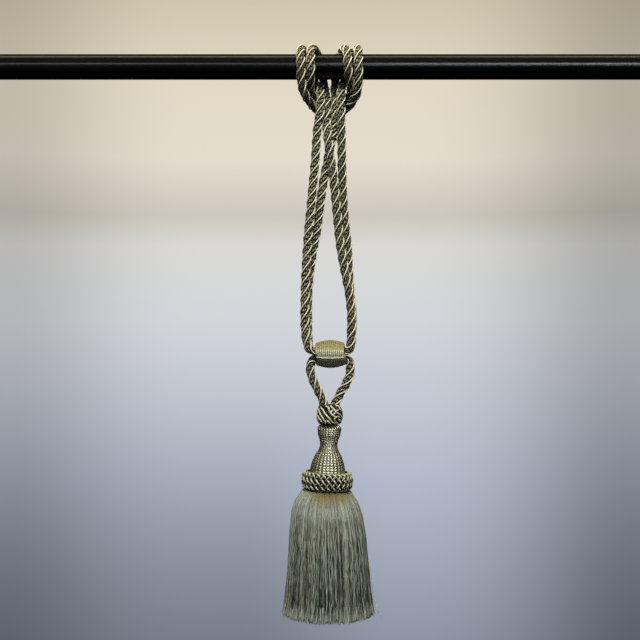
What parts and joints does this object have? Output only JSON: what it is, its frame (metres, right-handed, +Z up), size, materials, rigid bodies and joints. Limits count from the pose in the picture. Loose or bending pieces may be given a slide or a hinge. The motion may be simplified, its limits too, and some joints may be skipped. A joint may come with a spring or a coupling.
{
  "type": "curtain tieback tassel on a rod",
  "caption": "Twisted rope tieback hitched over a plain round curtain rod, with a thread-covered slide and a tassel of wound mould, plaited ruff and cut yarn skirt.",
  "frame": {"origin": "on the rod's axis, straight above the tassel, where the rope is hitched", "axes": "+X along the rod, -Y to the front of the hitch, +Z up; the tassel hangs down to -Z"},
  "size_m": [0.7, 0.0936, 0.568],
  "materials": {
    "rod_paint": "smooth gloss black paint on a metal tube",
    "rope_yarn": "three mottled sage, khaki and dark olive plies with pale cream gimp cords laid between them",
    "slide_thread": "fine straw and pale sage thread wound side by side, with a satin sheen",
    "knot_cord": "fine two-tone twisted cord in cream and dark olive",
    "mould_cord": "rows of fine two-ply twisted cord, straw to olive",
    "ruff_cord": "plaited cord stitches in pale sage with dark gaps",
    "skirt_yarn": "dense cut viscose yarn in mixed sage, cream, grey and dark olive"
  },
  "bodies": {
    "root": {"rod": "rod_paint", "rope_loop": "rope_yarn", "rope_sling": "rope_yarn", "slide": "slide_thread", "top_knot": "knot_cord", "mould": "mould_cord", "ruff": "ruff_cord", "skirt": "skirt_yarn"}
  },
  "joints": []
}
